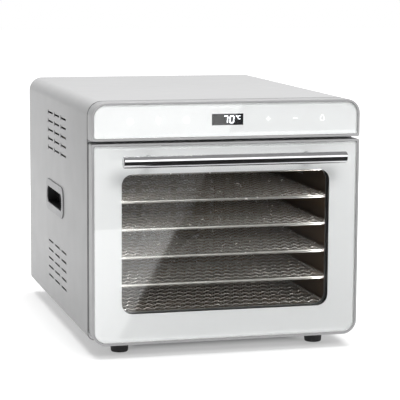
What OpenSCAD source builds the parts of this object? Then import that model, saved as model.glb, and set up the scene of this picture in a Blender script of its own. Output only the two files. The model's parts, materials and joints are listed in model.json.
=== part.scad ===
// Cabinet food dehydrator: six wire trays behind a drop-down glass door, a fan
// and ring heater at the back, and a touch-key panel above the door.
// Millimetres. +X is to the right seen from the front, the front faces -Y, +Z is up.
// The origin is at the middle of the footprint, on the surface the feet stand on.

/* [Cabinet] */
// width of the case and of the door
case_w = 340; // [280:1:420]
// height of the case without the feet
case_h = 296; // [245:1:360]
// depth from the front glass to the back
body_d = 450; // [375:1:540]
// outside radius of the two long top edges and of the door's low corners
corner_r = 18; // [12:1:24]
// outside radius of the two long bottom edges of the case
low_r = 9; // [5:1:16]
// thickness of the case sheet
sheet_t = 1; // [0.8:0.1:1.4]
// height of the feet
foot_h = 18; // [12:1:25]
// diameter of each foot
foot_d = 24; // [18:1:34]
// distance of each foot centre in from the side
foot_inset_x = 43; // [36:1:55]
// distance of each foot centre in from the front or the back
foot_inset_y = 43; // [38:1:60]

/* [Door and panel] */
// depth of the door, front to back
slab_t = 19.5; // [15.5:0.5:21]
// how far the door reaches below the case
door_drop = 1.5; // [0:0.5:3]
// height of the control panel
panel_h = 46.5; // [44:0.5:56]
// gap between the control panel and the door
panel_gap = 3.5; // [2:0.5:5]
// width of the metal frame round each front glass
bezel_w = 2.8; // [2.5:0.1:4.5]
// thickness of each sheet of glass
glass_t = 4; // [3:0.5:4]
// white border between the door's edge and the window
window_margin = 37.4; // [33:0.1:45]
// corner radius of the window
window_r = 14; // [6:0.5:18]
// depth of the black seal behind the door
seal_t = 10.5; // [5:0.1:11]
// depth of the black strip behind the control panel
strip_t = 3.8; // [3:0.1:4.5]
// how far the door opens, in degrees
door_swing = 78; // [60:1:80]

/* [Handle] */
// diameter of the handle bar
handle_d = 14; // [10:0.5:18]
// length of the handle bar
handle_len = 280; // [200:1:300]
// distance from the front glass to the middle of the bar
handle_stand = 37; // [30:1:52]
// distance of the bar below the door's top edge
handle_drop = 18; // [14:1:26]
// diameter of the handle posts
post_d = 8.5; // [8:0.5:12]
// distance between the handle posts
post_span = 201; // [140:1:230]

/* [Chamber and trays] */
// space between the case and the chamber at each side
side_gap = 15.2; // [12:0.2:22]
// height of the chamber floor above the case floor
floor_gap = 12; // [10:1:20]
// height of the electronics bay above the chamber
bay_h = 56; // [50:1:70]
// depth of the fan space behind the baffle
fan_bay = 37; // [34:1:46]
// depth of the motor space behind the chamber
motor_bay = 38; // [38:1:50]
// diameter of the wire round each tray
rim_d = 4; // [3:0.5:5]
// width of the square mesh wires
mesh_wire = 1.4; // [1:0.1:2]
// distance between the mesh wires that run front to back
mesh_pitch_x = 13.2; // [10:0.2:22]
// distance between the mesh wires that run side to side
mesh_pitch_y = 27; // [18:1:40]
// corner radius of the trays
tray_r = 14; // [8:1:30]
// distance from the front glass to the front wire of the trays
tray_setback = 45; // [40:1:60]

/* [Vents and grips] */
// length of each side louvre
louvre_len = 34; // [25:1:46]
// gap between the louvres of one row
louvre_space = 13; // [9:1:16]
// height of each side louvre
louvre_h = 2.6; // [1.5:0.1:4]
// distance between louvre rows
louvre_pitch = 12; // [9:0.5:14]
// distance of the louvre groups above and below the middle of the side
louvre_offset = 88; // [75:1:92]
// length of the metal plate round each carry grip
grip_len = 125; // [120:1:140]
// height of the metal plate round each carry grip
grip_h = 42; // [34:1:48]
// length of the hollow in each carry grip
grip_hole_len = 106; // [80:1:108]
// height of the hollow in each carry grip
grip_hole_h = 22; // [18:1:24]

/* [Fan and heater] */
// diameter of the fan wheel
fan_d = 146; // [110:2:150]
// diameter of the ring heater, to the middle of its tube
heater_d = 176; // [160:2:184]
// diameter of the heater tube
heater_tube = 6.6; // [5:0.2:8]
// diameter of the motor shaft
shaft_d = 6; // [5:0.5:8]

/* [Display] */
// width of the display window
display_w = 40; // [34:1:60]
// height of the display window
display_h = 14; // [12:1:18]
// distance of the first touch key from the middle
key_start = 52; // [42:1:56]
// distance between the touch keys
key_pitch = 35; // [24:1:36]

/* [Hidden] */
tray_count = 6;
fit = 0.3;
running = 0.05;
sliver = 0.2;

handle_reach = handle_stand + handle_d / 2;
front_y = -(body_d + handle_reach) / 2 + handle_reach;
back_y = front_y + body_d;
slab_y = front_y + slab_t;
seal_room = 0.3;
case_y = slab_y + seal_t + seal_room;
panel_back = case_y - strip_t;
panel_t = panel_back - front_y;
case_d = back_y - case_y;
case_mid_y = case_y + case_d / 2;
vent_y = case_mid_y - 7;
grip_y = case_mid_y + 8;

case_z = foot_h;
top_z = foot_h + case_h;
case_mid_z = foot_h + case_h / 2;
floor_z = case_z + sheet_t;
door_z = foot_h - door_drop;
panel_z = top_z - panel_h;
door_h = panel_z - panel_gap - door_z;
door_top = door_z + door_h;

inner_w = case_w - 2 * sheet_t;
inner_h = case_h - 2 * sheet_t;
inner_r = corner_r - sheet_t;
inner_low_r = low_r - sheet_t;
flat_x = case_w / 2 - corner_r;
flange_in = foot_inset_x + foot_d / 2 + 7;
base_t = 1;
base_top = floor_z + base_t;

liner_t = 0.8;
chamber_w = inner_w - 2 * side_gap - 2 * liner_t;
chamber_z = case_z + floor_gap;
chamber_top = top_z - bay_h - 2;
chamber_h = chamber_top - chamber_z;
chamber_back = back_y - motor_bay;
baffle_t = 1;
baffle_y = chamber_back - fan_bay;
fan_z = chamber_z + chamber_h / 2;

window_w = case_w - 2 * window_margin;
window_h = door_h - 2 * window_margin;
window_z = door_z + window_margin;
glass_gap = 0.3;
glass_y = front_y + glass_gap;
glass_back = glass_y + glass_t;
print_t = 0.5;
print_back = glass_back + print_t;
pane_y = slab_y - 1.5 - glass_t;
cover_t = 1.5;
small_r = 2;
glass_in = bezel_w + glass_gap;

pivot_y = slab_y - 3.5;
pivot_z = door_z + 6;
pin_r = 2.5;
arm_t = 3;
arm_r = 4.5;
block_w = 16;
arm_x = flat_x - block_w / 2 - 1;
notch_w = arm_t + 1.5;
seal_w = 8;
seal_inset = 0.2;

handle_z = door_top - handle_drop;
handle_y = front_y - handle_stand;

tray_w = chamber_w - 7;
tray_y = front_y + tray_setback;
tray_d = baffle_y - 5 - tray_y;
tray_first = chamber_z + 16.5;
tray_pitch = (chamber_h - 51) / (tray_count - 1);
rack_t = 1;
ledge_w = 10;
ledge_t = 1;
tray_rail_x = chamber_w / 2 - rack_t;

shelf_z = chamber_top + liner_t + 5;
shelf_t = 1;
board_z = shelf_z + shelf_t + 6;
board_t = 1.6;
board_w = 120;
board_d = 84;
board_y = case_y + 110;
display_z = panel_z + panel_h / 2 + 0.3;
display_y = print_back + 4.6;

grip_plate_t = 1.6;
grip_room = 3.5;
cup_t = 1.2;
cup_d = side_gap - 1.4;
inlet_x = case_w / 2 - 60;
inlet_z = case_z + 46;
back_t = 1;
back_in = 3;
panel_back_y = back_y - back_in;
lip_w = 8;

motor_y = chamber_back + liner_t;
bracket_t = 1.5;
rotor_r = 12.8;
stator_y = motor_y + 7;
stator_t = 14;
bracket_back_y = stator_y + stator_t + 4;

// colours
steel = [0.78, 0.78, 0.80];
white = [0.94, 0.94, 0.95];
dark = [0.16, 0.15, 0.14];
black = [0.06, 0.06, 0.06];
bright = [0.85, 0.85, 0.87];
clear = [0.75, 0.85, 0.88, 0.35];

// rounded rectangle in the plane of the door, standing on y = 0, with one
// radius for the two top corners and one for the two bottom corners
module round_rect(w, h, top_r, low_r) {
    translate([-w / 2 + low_r, 0])
        square([w - 2 * low_r, h - top_r]);
    translate([-w / 2, low_r])
        square([w, h - top_r - low_r]);
    translate([-w / 2 + top_r, h - top_r - 1])
        square([w - 2 * top_r, top_r + 1]);
    for (side = [-1, 1]) {
        translate([side * (w / 2 - low_r), low_r])
            circle(r = low_r, $fn = 64);
        translate([side * (w / 2 - top_r), h - top_r])
            circle(r = top_r, $fn = 64);
    }
}

// a flat shape drawn in x and z, extruded towards the back from y by depth t
module upright(y, z, t) {
    translate([0, y + t, z])
        rotate([90, 0, 0])
            linear_extrude(height = t)
                children();
}

// a rod along Y from y by length t
module rod_y(x, y, z, r, t, fn = 32) {
    translate([x, y + t, z])
        rotate([90, 0, 0])
            cylinder(r = r, h = t, $fn = fn);
}

// a rod along X centred on x
module rod_x(x, y, z, r, t, fn = 32) {
    translate([x - t / 2, y, z])
        rotate([0, 90, 0])
            cylinder(r = r, h = t, $fn = fn);
}

// a box centred in x, from y and z upward
module block(x, y, z, w, d, h) {
    translate([x - w / 2, y, z])
        cube([w, d, h]);
}

// ---- cabinet ----

// the louvre slots of both sides, in two groups of five rows and three columns
module louvre_cuts() {
    column = louvre_len + louvre_space;
    for (group = [-1, 1], row = [-2:2], col = [-1:1])
        translate([
            -case_w / 2 - 1,
            vent_y + col * column - louvre_len / 2,
            case_mid_z + group * louvre_offset + row * louvre_pitch - louvre_h / 2
        ])
            cube([case_w + 2, louvre_len, louvre_h]);
}

// the wrapped sheet: top, sides and the two flanges under the feet
module outer_case() {
    color(white)
        difference() {
            union() {
                difference() {
                    upright(case_y, case_z, case_d)
                        round_rect(case_w, case_h, corner_r, low_r);
                    upright(case_y - 1, floor_z, case_d + 2)
                        round_rect(inner_w, inner_h, inner_r, inner_low_r);
                }
                upright(panel_back_y - back_t, floor_z - sliver, back_t)
                    difference() {
                        round_rect(inner_w + 2 * sliver, inner_h + 2 * sliver, inner_r, inner_low_r);
                        translate([0, lip_w])
                            round_rect(inner_w - 2 * lip_w, inner_h - 2 * lip_w, 10, 10);
                    }
            }
            block(0, case_y - 1, case_z - 1, case_w - 2 * flange_in, case_d + 2, sheet_t + 1.5);
            louvre_cuts();
            block(
                0, grip_y - grip_hole_len / 2 - grip_room, case_mid_z - grip_hole_h / 2 - grip_room,
                case_w + 2, grip_hole_len + 2 * grip_room, grip_hole_h + 2 * grip_room
            );
            foot_bores(case_z - 1, 4);
            lip_bores(2.1);
        }
}

// the four foot positions
module at_feet() {
    for (sx = [-1, 1], y = [front_y + foot_inset_y, back_y - foot_inset_y])
        translate([sx * (case_w / 2 - foot_inset_x), y, 0])
            children();
}

module foot_bores(z, h) {
    at_feet()
        translate([0, 0, z])
            cylinder(r = 2.2, h = h, $fn = 24);
}

// the floor sheet, resting on the flanges of the case
module base_panel() {
    color(steel)
        difference() {
            block(0, case_y + 2, floor_z, 2 * flat_x - 2, case_d - back_in - 4, base_t);
            foot_bores(floor_z - 1, 3);
            for (row = [-3:3])
                block(0, case_mid_y + row * 16, floor_z - 1, 110, 5, 3);
        }
}

// positions of the screws that hold the back
module at_back_screws() {
    for (sx = [-1, 1], z = [case_z + 40, case_mid_z, top_z - 40])
        translate([sx * (inner_w / 2 - lip_w / 2), 0, z])
            children();
}

module lip_bores(r) {
    at_back_screws()
        rod_y(0, panel_back_y - 3, 0, r, 3 + back_t + 1, 24);
}

// the back sheet with air slots behind the fan and the inlet opening
module back_panel() {
    color(white)
        difference() {
            upright(panel_back_y, floor_z + fit / 2, back_t)
                round_rect(inner_w - fit, inner_h - fit, inner_r, inner_low_r);
            lip_bores(2.1);
            for (row = [-4:4])
                block(0, panel_back_y - 1, fan_z + row * 10 - 2, 110, 4, 4);
            for (row = [0:2])
                block(0, panel_back_y - 1, top_z - 44 + row * 10, 150, 4, 4);
            block(inlet_x, panel_back_y - 1, inlet_z - 11, 32, 4, 22);
        }
}

// screws of the back sheet
module back_screws() {
    color(steel)
        at_back_screws() {
            rod_y(0, panel_back_y + back_t, 0, 3.6, 1.8, 24);
            rod_y(0, panel_back_y - 5, 0, 1.9, 5 + back_t + sliver, 24);
        }
}

// the sheet behind the door, open at the chamber, the hinge arms and the wires
module front_frame() {
    color(steel)
        difference() {
            upright(case_y, floor_z + fit / 2, 1.2)
                round_rect(inner_w - fit, inner_h - fit, inner_r, inner_low_r);
            block(
                0, case_y - 1, chamber_z - liner_t,
                chamber_w + 2 * liner_t, 4, chamber_h + 2 * liner_t
            );
            for (sx = [-1, 1])
                block(sx * arm_x, case_y - 1, case_z, notch_w, 4, pivot_z + 5 - case_z);
            block(0, case_y - 1, display_z - 12, 60, 4, 18);
        }
}

// the drying chamber, an open box of sheet with a bore for the fan shaft
module chamber_liner() {
    color(dark)
        difference() {
            block(
                0, case_y, chamber_z - liner_t,
                chamber_w + 2 * liner_t, chamber_back + liner_t - case_y, chamber_h + 2 * liner_t
            );
            block(0, case_y - 1, chamber_z, chamber_w, chamber_back - case_y + 1, chamber_h);
            rod_y(0, chamber_back - 1, fan_z, shaft_d / 2 + 3, 4, 32);
            for (a = [0:30:330])
                rod_y(42 * cos(a), chamber_back - 1, fan_z + 42 * sin(a), 5, 4, 24);
            for (sx = [-1, 1])
                rod_y(sx * 12, chamber_back - 1, heater_end_z(), heater_tube / 2 + 0.6, 4, 24);
            rod_y(probe_x(), chamber_back - 1, probe_z(), 2.3, 4, 24);
            for (col = [-1:1], row = [0:1])
                block(
                    0, vent_y + col * (louvre_len + louvre_space) - louvre_len / 2,
                    chamber_top - 22 - row * tray_pitch, chamber_w + 8, louvre_len, 3
                );
        }
}

// a rack of six ledges on one side of the chamber
module rack(sx) {
    color(dark)
        union() {
            translate([sx * (chamber_w / 2 - rack_t / 2), 0, 0])
                for (y = [case_y + 14, tray_y + tray_d - 60])
                    block(0, y, chamber_z + 4, rack_t, 30, chamber_h - 8);
            for (i = [0:tray_count - 1])
                block(
                    sx * (tray_rail_x - ledge_w / 2 + sliver / 2), case_y + 8,
                    tray_level(i) - rim_d / 2 - fit - ledge_t,
                    ledge_w + sliver, tray_y + tray_d - case_y - 10, ledge_t
                );
            for (i = [0:tray_count - 1])
                block(
                    sx * (tray_rail_x - 1.5), case_y + 8,
                    tray_level(i) - rim_d / 2 - fit - ledge_t,
                    1, tray_y + tray_d - case_y - 10, 5
                );
        }
}

module rack_left() {
    rack(-1);
}

module rack_right() {
    rack(1);
}

// the slotted sheet between the trays and the fan
module rear_baffle() {
    color(dark)
        difference() {
            block(0, baffle_y, chamber_z + fit / 2, chamber_w - fit, baffle_t, chamber_h - fit);
            for (row = [-8:8], col = [-2:2])
                block(
                    col * chamber_w / 6, baffle_y - 1,
                    fan_z + row * (chamber_h - 30) / 17 - 2.5, chamber_w / 6 - 8, 3, 5
                );
            rod_y(probe_x(), baffle_y - 1, probe_z(), 2.6, 3, 24);
        }
}

// height of the ring heater's two ends
function heater_end_z() = fan_z - sqrt(pow(heater_d / 2, 2) - pow(12, 2));

// the ring heater, with two ends that pass back through the chamber wall
module heater_element() {
    ring_y = baffle_y + 18;
    gap_a = asin(12 / (heater_d / 2));
    end_z = heater_end_z();
    color(steel)
        union() {
            translate([0, ring_y, fan_z])
                rotate([90, 0, 0])
                    rotate([0, 0, -90 + gap_a])
                        rotate_extrude(angle = 360 - 2 * gap_a, $fn = 96)
                            translate([heater_d / 2, 0])
                                circle(r = heater_tube / 2, $fn = 24);
            for (sx = [-1, 1]) {
                translate([sx * 12, ring_y, end_z])
                    sphere(r = heater_tube / 2 + 0.4, $fn = 32);
                rod_y(sx * 12, ring_y, end_z, heater_tube / 2, chamber_back + 7 - ring_y, 24);
                rod_y(sx * 12, chamber_back + 6, end_z, 1.5, 8, 16);
            }
        }
}

// brackets that carry the ring heater from the chamber's back wall
module heater_clips() {
    ring_y = baffle_y + 18;
    r = heater_d / 2;
    color(bright)
        for (a = [0, 90, 180])
            translate([0, 0, fan_z])
                rotate([0, -a, 0])
                    difference() {
                        block(r, ring_y - 6, -0.6, 12, chamber_back - ring_y + 6, 1.2);
                        translate([0, ring_y, 0])
                            rotate([90, 0, 0])
                                rotate_extrude($fn = 96)
                                    translate([r, 0])
                                        circle(r = heater_tube / 2 + 0.1, $fn = 24);
                    }
}

// the laminated stator of the fan motor
module motor_stator() {
    color(steel)
        difference() {
            block(0, stator_y, fan_z - 22, 76, stator_t, 44);
            rod_y(0, stator_y - 1, fan_z, rotor_r + 0.5, stator_t + 2, 48);
            block(25, stator_y - 1, fan_z - 10, 12, stator_t + 2, 20);
            for (sx = [-1, 1])
                rod_y(sx * 17, stator_y - 1, fan_z + sx * 16, 2.6, stator_t + 2, 24);
        }
}

// the coil on the side leg of the stator
module motor_coil() {
    color([0.55, 0.28, 0.10])
        difference() {
            block(31.5, stator_y - 5, fan_z - 9.5, 25, stator_t + 10, 19);
            block(35.1, stator_y - 0.1, fan_z - 11, 8.4, stator_t + 0.2, 22);
        }
}

// two bearing straps and the posts that tie them to the chamber wall
module motor_bracket() {
    color(bright)
        union() {
            for (y = [motor_y + 2, bracket_back_y])
                difference() {
                    union() {
                        translate([0, y, fan_z])
                            rotate([0, -43.26, 0])
                                block(0, 0, -6, 56, bracket_t, 12);
                        rod_y(0, y, fan_z, 9, bracket_t, 32);
                    }
                    rod_y(0, y - 1, fan_z, shaft_d / 2 + running, bracket_t + 2, 48);
                    for (sx = [-1, 1])
                        rod_y(sx * 17, y - 1, fan_z + sx * 16, 2, bracket_t + 2, 24);
                }
            for (sx = [-1, 1])
                rod_y(sx * 17, motor_y, fan_z + sx * 16, 2.5, bracket_back_y + 3 - motor_y, 24);
        }
}

// safety cut-out on the chamber wall, with its two tabs
module thermal_cutout() {
    color(bright)
        union() {
            rod_y(-70, chamber_back + liner_t, fan_z + 40, 9, 7, 32);
            for (sx = [-1, 1])
                block(-70 + sx * 4, chamber_back + liner_t + 6, fan_z + 37, 1, 9, 6);
        }
}

function probe_x() = chamber_w / 2 - 34;
function probe_z() = tray_level(tray_count - 1) - tray_pitch / 2;

// temperature probe reaching through the baffle
module temp_probe() {
    color(bright)
        union() {
            rod_y(probe_x(), baffle_y - 4, probe_z(), 2, chamber_back + 10 - baffle_y, 24);
            rod_y(probe_x(), chamber_back + liner_t, probe_z(), 4.5, 3, 6);
        }
}

// the shelf over the chamber, with folded legs and board standoffs
module electronics_shelf() {
    leg_x = chamber_w / 2 - 10;
    color(steel)
        union() {
            block(0, case_y + 20, shelf_z, 2 * leg_x, 230, shelf_t);
            for (sx = [-1, 1])
                block(
                    sx * (leg_x - 0.5), case_y + 20, chamber_top + liner_t,
                    1, 230, shelf_z + sliver - chamber_top - liner_t
                );
            for (sx = [-1, 1], sy = [-1, 1])
                translate([
                    sx * (board_w / 2 - 6), board_y + sy * (board_d / 2 - 6), shelf_z + shelf_t - sliver
                ])
                    cylinder(r = 3, h = board_z - shelf_z - shelf_t + sliver, $fn = 24);
        }
}

// the power board
module power_board() {
    color([0.10, 0.35, 0.16])
        block(0, board_y - board_d / 2, board_z, board_w, board_d, board_t);
}

// transformer, relays, capacitors and heat sink on the power board
module board_parts() {
    z = board_z + board_t;
    color(dark)
        union() {
            block(-38, board_y - 30, z, 30, 34, 24);
            block(0, board_y - 32, z, 18, 15, 16);
            block(24, board_y - 32, z, 18, 15, 16);
            block(8, board_y + 14, z, 44, 3, 22);
            for (i = [0:2])
                translate([-46 + i * 16, board_y + 28, z])
                    cylinder(r = 6, h = 18, $fn = 32);
            block(48, board_y - 10, z, 14, 26, 10);
        }
}

// the wire bundles: panel to power board, and power board to the inlet
module wiring() {
    r = 2.5;
    loom_y = display_y + board_t + 0.1;
    loom_z = display_z - 6;
    drop_y = board_y - board_d / 2 + 4.5;
    feed_x = 37;
    rear_y = back_y - 10;
    high_z = board_z + 6;
    color(black)
        union() {
            rod_y(20, loom_y, loom_z, r, drop_y - loom_y, 20);
            translate([20, drop_y, loom_z])
                sphere(r = r + 0.3, $fn = 32);
            translate([20, drop_y, board_z + board_t])
                cylinder(r = r, h = loom_z - board_z - board_t, $fn = 20);
            translate([feed_x, drop_y, board_z + board_t])
                cylinder(r = r, h = high_z - board_z - board_t, $fn = 20);
            translate([feed_x, drop_y, high_z])
                sphere(r = r + 0.3, $fn = 32);
            rod_y(feed_x, drop_y, high_z, r, rear_y - drop_y, 20);
            translate([feed_x, rear_y, high_z])
                sphere(r = r + 0.3, $fn = 32);
            rod_x((feed_x + inlet_x) / 2, rear_y, high_z, r, inlet_x - feed_x, 20);
            translate([inlet_x, rear_y, high_z])
                sphere(r = r + 0.3, $fn = 32);
            translate([inlet_x, rear_y, inlet_z + 12])
                cylinder(r = r, h = high_z - inlet_z - 12, $fn = 20);
        }
}

// the mains inlet: shell with its socket
module power_inlet() {
    mouth_y = back_y;
    depth = mouth_y - panel_back_y + 16;
    color(black)
        difference() {
            union() {
                block(inlet_x, panel_back_y + back_t, inlet_z - 12.5, 48, back_in - back_t, 25);
                block(inlet_x, mouth_y - depth, inlet_z - 10.8, 31.6, depth, 21.6);
            }
            block(inlet_x, mouth_y - depth + 2, inlet_z - 8.3, 24.4, depth, 16.6);
            for (sx = [-1, 1])
                rod_y(inlet_x + sx * 20, panel_back_y, inlet_z, 1.7, back_in + 1, 24);
        }
}

// the three flat contacts of the inlet
module inlet_pins() {
    depth = back_y - panel_back_y + 16;
    color(bright)
        for (i = [-1:1])
            block(inlet_x + i * 7, back_y - depth + 2, inlet_z - 2 + (i == 0 ? 2 : -1), 2, 12, 4);
}

// the plate round a carry grip, standing proud of the side
module grip_plate(sx) {
    side_x = sx > 0 ? case_w / 2 : -case_w / 2 - grip_plate_t;
    color(steel)
        translate([side_x, grip_y, case_mid_z])
            rotate([90, 0, 90])
                linear_extrude(height = grip_plate_t)
                    difference() {
                        translate([0, -grip_h / 2])
                            round_rect(grip_len, grip_h, 14, 14);
                        translate([0, -grip_hole_h / 2])
                            cut_rect(grip_hole_len, grip_hole_h, 5);
                    }
}

// rectangle with chamfered corners, standing on y = 0
module cut_rect(w, h, c) {
    polygon([
        [-w / 2 + c, 0], [w / 2 - c, 0], [w / 2, c], [w / 2, h - c],
        [w / 2 - c, h], [-w / 2 + c, h], [-w / 2, h - c], [-w / 2, c]
    ]);
}

module grip_plate_left() {
    grip_plate(-1);
}

module grip_plate_right() {
    grip_plate(1);
}

// the moulded cup behind a carry grip, open to the side
module grip_cup(sx) {
    mouth = case_w / 2;
    color(black)
        translate([0, grip_y, case_mid_z])
            difference() {
                block(
                    sx * (mouth - cup_d / 2), -grip_hole_len / 2 - cup_t, -grip_hole_h / 2 - cup_t,
                    cup_d, grip_hole_len + 2 * cup_t, grip_hole_h + 2 * cup_t
                );
                block(
                    sx * (mouth - cup_d / 2 + cup_t), -grip_hole_len / 2, -grip_hole_h / 2,
                    cup_d, grip_hole_len, grip_hole_h
                );
            }
}

module grip_cup_left() {
    grip_cup(-1);
}

module grip_cup_right() {
    grip_cup(1);
}

// one foot, with a recess for its screw
module foot(sx, y) {
    color(black)
        translate([sx * (case_w / 2 - foot_inset_x), y, 0])
            difference() {
                union() {
                    cylinder(r = foot_d / 2 - 1, h = 2, $fn = 48);
                    translate([0, 0, 1.8])
                        cylinder(r1 = foot_d / 2 - 1.2, r2 = foot_d / 2, h = foot_h - 1.8, $fn = 48);
                }
                translate([0, 0, -1])
                    cylinder(r = 4.5, h = foot_h - 3, $fn = 32);
                cylinder(r = 2.2, h = foot_h + 1, $fn = 24);
            }
}

module foot_front_left() {
    foot(-1, front_y + foot_inset_y);
}

module foot_front_right() {
    foot(1, front_y + foot_inset_y);
}

module foot_rear_left() {
    foot(-1, back_y - foot_inset_y);
}

module foot_rear_right() {
    foot(1, back_y - foot_inset_y);
}

// screws up through the feet
module foot_screws() {
    color(steel)
        at_feet() {
            translate([0, 0, foot_h - 6.5])
                cylinder(r = 3.8, h = 2.5, $fn = 24);
            translate([0, 0, foot_h - 4.2])
                cylinder(r = 2, h = 4.2 + base_t + sheet_t + 3, $fn = 24);
        }
}

// one hinge arm: a round eye at the pivot, an arm under the chamber and a foot
module hinge_bracket(sx) {
    reach = case_y + 28 - pivot_y;
    color(bright)
        difference() {
            union() {
                rod_x(sx * arm_x, pivot_y, pivot_z, arm_r, arm_t, 48);
                block(sx * arm_x, pivot_y, base_top, arm_t, reach, pivot_z + 4 - base_top);
                block(sx * (arm_x + 3), case_y + 8, base_top, 6 + arm_t, 20, 2);
            }
            rod_x(sx * arm_x, pivot_y, pivot_z, pin_r + running, arm_t + 2, 48);
        }
}

module hinge_bracket_left() {
    hinge_bracket(-1);
}

module hinge_bracket_right() {
    hinge_bracket(1);
}

// ---- control panel ----

// the metal frame of the control panel, with a back wall and board posts
module control_frame() {
    color(steel)
        difference() {
            union() {
                difference() {
                    upright(front_y, panel_z, panel_t)
                        round_rect(case_w, panel_h, corner_r, small_r);
                    upright(front_y - 1, panel_z + bezel_w, panel_t - 0.5)
                        round_rect(
                            case_w - 2 * bezel_w, panel_h - 2 * bezel_w,
                            corner_r - bezel_w, small_r
                        );
                }
                for (x = [-110, 110])
                    rod_y(x, display_y + board_t, display_z, 3, panel_back - display_y - board_t - 0.5, 24);
            }
            block(0, panel_back - 4, display_z - 12, 60, 6, 18);
        }
}

// black strip between the control panel and the case
module panel_gasket() {
    color(black)
        upright(panel_back, panel_z + seal_inset, strip_t)
            difference() {
                round_rect(
                    case_w - 2 * seal_inset, panel_h - 2 * seal_inset,
                    corner_r - seal_inset, small_r
                );
                translate([0, 6])
                    round_rect(
                        case_w - 2 * seal_inset - 12, panel_h - 2 * seal_inset - 12,
                        corner_r - seal_inset - 6, small_r
                    );
            }
}

// front glass of the control panel
module control_glass() {
    color(clear)
        upright(glass_y, panel_z + glass_in, glass_t)
            round_rect(
                case_w - 2 * glass_in, panel_h - 2 * glass_in, corner_r - glass_in, small_r
            );
}

// white layer behind that glass, open at the display
module control_print() {
    color(white)
        difference() {
            upright(glass_back, panel_z + glass_in, print_t)
                round_rect(
                    case_w - 2 * glass_in, panel_h - 2 * glass_in, corner_r - glass_in, small_r
                );
            block(0, glass_back - 1, display_z - display_h / 2, display_w, 3, display_h);
        }
}

// the display behind the opening
module display_module() {
    color(black)
        block(
            0, print_back, display_z - display_h / 2 - 1.5,
            display_w + 6, display_y - print_back, display_h + 3
        );
}

// the board that carries the display and the touch contacts
module display_board() {
    color([0.10, 0.35, 0.16])
        block(0, display_y, display_z - 15, 2 * (key_start + 2 * key_pitch) + 24, board_t, 30);
}

// spring contacts behind the six touch keys
module touch_contacts() {
    color(bright)
        for (sx = [-1, 1], i = [0:2])
            rod_y(sx * (key_start + i * key_pitch), print_back, display_z, 5, display_y - print_back);
}

// ---- door ----

// the slots that let the hinge arms through the door
module arm_notches(z0, z1) {
    for (sx = [-1, 1])
        block(sx * arm_x, pivot_y - 5.2, z0, notch_w, slab_t + seal_t, z1 - z0);
}

// the metal frame round the door
module door_frame() {
    color(steel)
        difference() {
            upright(front_y, door_z, slab_t)
                round_rect(case_w, door_h, small_r, corner_r);
            upright(front_y - 1, door_z + bezel_w, slab_t + 2)
                round_rect(
                    case_w - 2 * bezel_w, door_h - 2 * bezel_w, small_r, corner_r - bezel_w
                );
            arm_notches(door_z - 1, door_z + bezel_w + 1);
        }
}

// front glass of the door
module door_glass() {
    color(clear)
        difference() {
            upright(glass_y, door_z + glass_in, glass_t)
                round_rect(
                    case_w - 2 * glass_in, door_h - 2 * glass_in, small_r, corner_r - glass_in
                );
            handle_bores(2.6);
        }
}

// white layer behind the door glass, open at the window
module door_print() {
    color(white)
        difference() {
            upright(glass_back, door_z + glass_in, print_t)
                round_rect(
                    case_w - 2 * glass_in, door_h - 2 * glass_in, small_r, corner_r - glass_in
                );
            upright(glass_back - 1, window_z, 3)
                round_rect(window_w, window_h, window_r, window_r);
            handle_bores(2.6);
        }
}

module handle_bores(r) {
    for (sx = [-1, 1])
        rod_y(sx * post_span / 2, front_y - 1, handle_z, r, slab_t + 2, 24);
}

// black strip between the two sheets of glass, round the window
module pane_spacer() {
    color(dark)
        upright(print_back, window_z - 7, pane_y - print_back)
            difference() {
                round_rect(window_w + 14, window_h + 14, window_r + 4, window_r + 4);
                translate([0, 7 - 0.5])
                    round_rect(window_w + 1, window_h + 1, window_r, window_r);
            }
}

// inner glass of the door
module inner_glass() {
    color(clear)
        upright(pane_y, window_z - 8, glass_t)
            round_rect(window_w + 16, window_h + 16, window_r, window_r);
}

// sheet that closes the back of the door round the inner glass
module inner_panel() {
    color(steel)
        difference() {
            upright(slab_y - cover_t, door_z + bezel_w + fit / 2, cover_t)
                round_rect(
                    case_w - 2 * bezel_w - fit, door_h - 2 * bezel_w - fit,
                    small_r, corner_r - bezel_w
                );
            upright(slab_y - cover_t - 1, window_z, cover_t + 2)
                round_rect(window_w, window_h, window_r, window_r);
            for (sx = [-1, 1])
                block(
                    sx * arm_x, slab_y - cover_t - 1, door_z,
                    block_w + fit, cover_t + 2, pivot_z + 7.5 - door_z
                );
            handle_bores(4.6);
        }
}

// black seal on the back of the door, notched over the hinge arms
module door_seal() {
    low_z = pivot_z;
    seal_h = door_top - seal_inset - low_z;
    color(black)
        difference() {
            upright(slab_y, low_z, seal_t)
                difference() {
                    round_rect(case_w - 2 * seal_inset, seal_h, small_r, 12);
                    translate([0, seal_w])
                        round_rect(case_w - 2 * seal_inset - 2 * seal_w, seal_h - 2 * seal_w, 2, 5);
                }
            arm_notches(low_z - 1, pivot_z + 5.4);
        }
}

// the two blocks inside the door that hold the hinge pins
module hinge_blocks() {
    low_z = door_z + bezel_w;
    color(bright)
        difference() {
            for (sx = [-1, 1])
                block(
                    sx * arm_x, pivot_y - 5, low_z,
                    block_w, slab_y - pivot_y + 5, pivot_z + 7.2 - low_z
                );
            arm_notches(low_z - 1, pivot_z + 5.2);
            for (sx = [-1, 1])
                rod_x(sx * arm_x, pivot_y, pivot_z, pin_r, block_w + 2, 48);
        }
}

// the hinge pins, fixed in those blocks
module hinge_pins() {
    color(steel)
        for (sx = [-1, 1])
            rod_x(sx * arm_x, pivot_y, pivot_z, pin_r, block_w, 48);
}

// ---- handle ----

// the round bar of the handle
module handle_bar() {
    color(bright)
        union() {
            rod_x(0, handle_y, handle_z, handle_d / 2, handle_len - 2, 64);
            rod_x(0, handle_y, handle_z, handle_d / 2 - 1, handle_len, 64);
        }
}

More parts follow.
